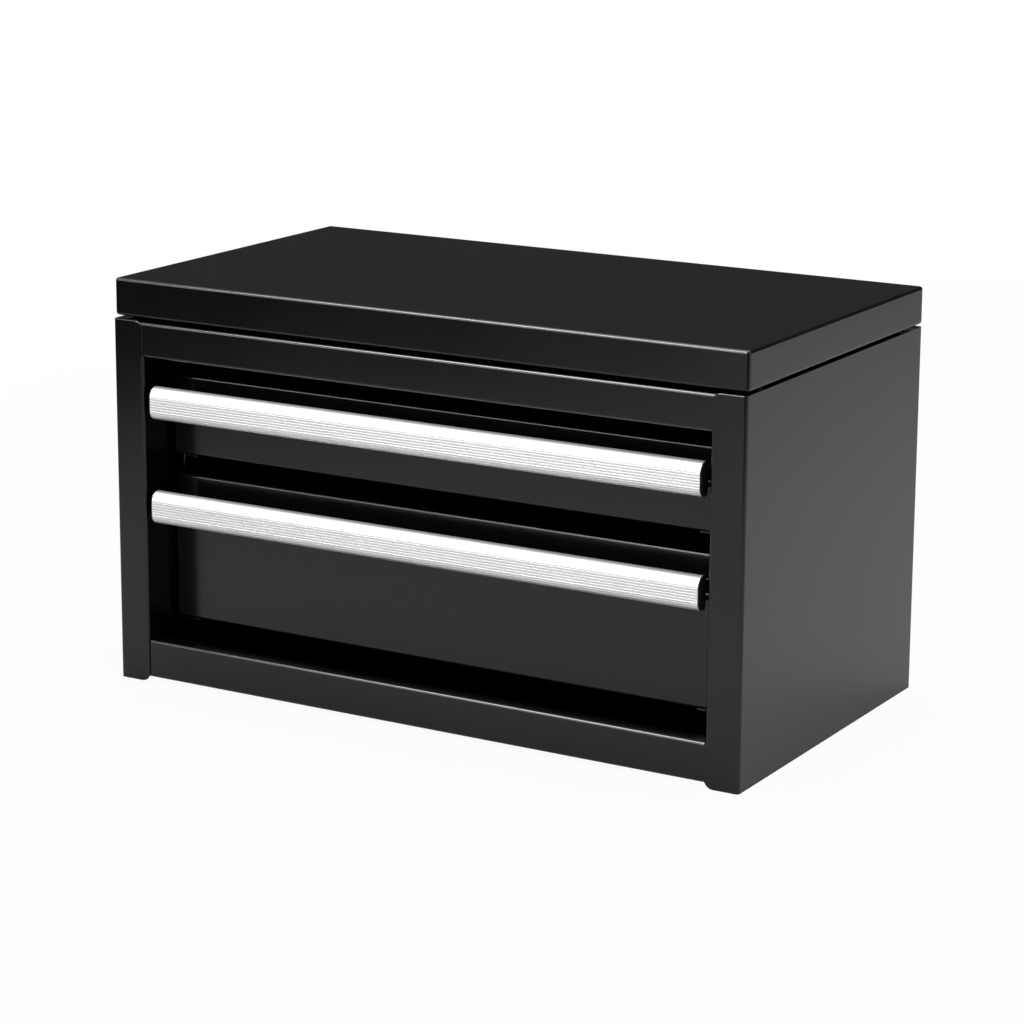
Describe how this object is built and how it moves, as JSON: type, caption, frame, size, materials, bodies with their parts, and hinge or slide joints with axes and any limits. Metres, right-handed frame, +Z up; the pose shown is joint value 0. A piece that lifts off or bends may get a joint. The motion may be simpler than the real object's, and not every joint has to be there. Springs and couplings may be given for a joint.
{
  "type": "machinist tool chest",
  "caption": "Black folded-steel benchtop tool chest with set-back drawers on telescopic slides, full-width ribbed aluminium pulls and a rear-hinged lid over a shallow till.",
  "frame": {"origin": "on the floor, under the middle of the chest's bounding box", "axes": "+Z up, +X to the right of someone facing the drawers, drawers open towards -Y"},
  "size_m": [0.61, 0.343, 0.3582],
  "materials": {
    "black_powder_coat": "satin black powder coat, slightly pebbled",
    "pull_aluminium": "satin clear-anodised, fluted along its length",
    "cap_plastic": "moulded black, matt",
    "zinc_slide": "bright zinc plate",
    "rivet_steel": "black-finished steel rivet heads",
    "pin_steel": "plain drawn steel wire",
    "liner_mat": "ribbed dark grey mat",
    "bumper_rubber": "soft black rubber"
  },
  "bodies": {
    "cabinet": {"side_panel_left": "black_powder_coat", "side_panel_right": "black_powder_coat", "top_rail": "black_powder_coat", "base_rail": "black_powder_coat", "back_panel": "black_powder_coat", "bottom_panel": "black_powder_coat", "till_floor": "black_powder_coat", "till_liner": "liner_mat", "back_rivets": "rivet_steel", "lid_bumpers": "bumper_rubber", "slide_post_front_left": "black_powder_coat", "slide_post_front_right": "black_powder_coat", "slide_post_rear_left": "black_powder_coat", "slide_post_rear_right": "black_powder_coat", "post_rivets": "rivet_steel", "hinge_leaf_cabinet": "black_powder_coat", "hinge_pin": "pin_steel", "hinge_rivets_cabinet": "rivet_steel", "upper_slide_cabinet_member_left": "zinc_slide", "upper_slide_cabinet_member_right": "zinc_slide", "lower_slide_cabinet_member_left": "zinc_slide", "lower_slide_cabinet_member_right": "zinc_slide"},
    "lid": {"lid_shell": "black_powder_coat", "lid_stiffener": "black_powder_coat", "hinge_leaf_lid": "black_powder_coat", "hinge_rivets_lid": "rivet_steel"},
    "upper_drawer": {"upper_drawer_box": "black_powder_coat", "upper_drawer_front": "black_powder_coat", "upper_pull_bracket": "black_powder_coat", "upper_pull": "pull_aluminium", "upper_pull_cap_left": "cap_plastic", "upper_pull_cap_right": "cap_plastic", "upper_drawer_liner": "liner_mat", "upper_slide_rivets": "rivet_steel", "upper_bracket_rivets": "rivet_steel", "upper_slide_drawer_member_left": "zinc_slide", "upper_slide_drawer_member_right": "zinc_slide"},
    "lower_drawer": {"lower_drawer_box": "black_powder_coat", "lower_drawer_front": "black_powder_coat", "lower_pull_bracket": "black_powder_coat", "lower_pull": "pull_aluminium", "lower_pull_cap_left": "cap_plastic", "lower_pull_cap_right": "cap_plastic", "lower_drawer_liner": "liner_mat", "lower_slide_rivets": "rivet_steel", "lower_bracket_rivets": "rivet_steel", "lower_slide_drawer_member_left": "zinc_slide", "lower_slide_drawer_member_right": "zinc_slide"},
    "upper_middle_member_left": {"upper_slide_middle_member_left": "zinc_slide"},
    "upper_middle_member_right": {"upper_slide_middle_member_right": "zinc_slide"},
    "lower_middle_member_left": {"lower_slide_middle_member_left": "zinc_slide"},
    "lower_middle_member_right": {"lower_slide_middle_member_right": "zinc_slide"}
  },
  "joints": [
    {"name": "lid_hinge", "type": "hinge", "parent": "cabinet", "child": "lid", "pos_m": [0, 0.169, 0.3228], "axis": [-1, 0, 0], "range_deg": [0, 95]},
    {"name": "upper_drawer_slide", "type": "slide", "parent": "cabinet", "child": "upper_drawer", "axis": [0, -1, 0], "range_m": [0, 0.27]},
    {"name": "lower_drawer_slide", "type": "slide", "parent": "cabinet", "child": "lower_drawer", "axis": [0, -1, 0], "range_m": [0, 0.27]},
    {"name": "upper_middle_slide_left", "type": "slide", "parent": "cabinet", "child": "upper_middle_member_left", "axis": [0, -1, 0], "range_m": [0, 0.135]},
    {"name": "upper_middle_slide_right", "type": "slide", "parent": "cabinet", "child": "upper_middle_member_right", "axis": [0, -1, 0], "range_m": [0, 0.135]},
    {"name": "lower_middle_slide_left", "type": "slide", "parent": "cabinet", "child": "lower_middle_member_left", "axis": [0, -1, 0], "range_m": [0, 0.135]},
    {"name": "lower_middle_slide_right", "type": "slide", "parent": "cabinet", "child": "lower_middle_member_right", "axis": [0, -1, 0], "range_m": [0, 0.135]}
  ],
  "couplings": [
    {"joint": "upper_middle_slide_left", "follows": "upper_drawer_slide", "ratio": 0.5},
    {"joint": "upper_middle_slide_right", "follows": "upper_drawer_slide", "ratio": 0.5},
    {"joint": "lower_middle_slide_left", "follows": "lower_drawer_slide", "ratio": 0.5},
    {"joint": "lower_middle_slide_right", "follows": "lower_drawer_slide", "ratio": 0.5}
  ]
}
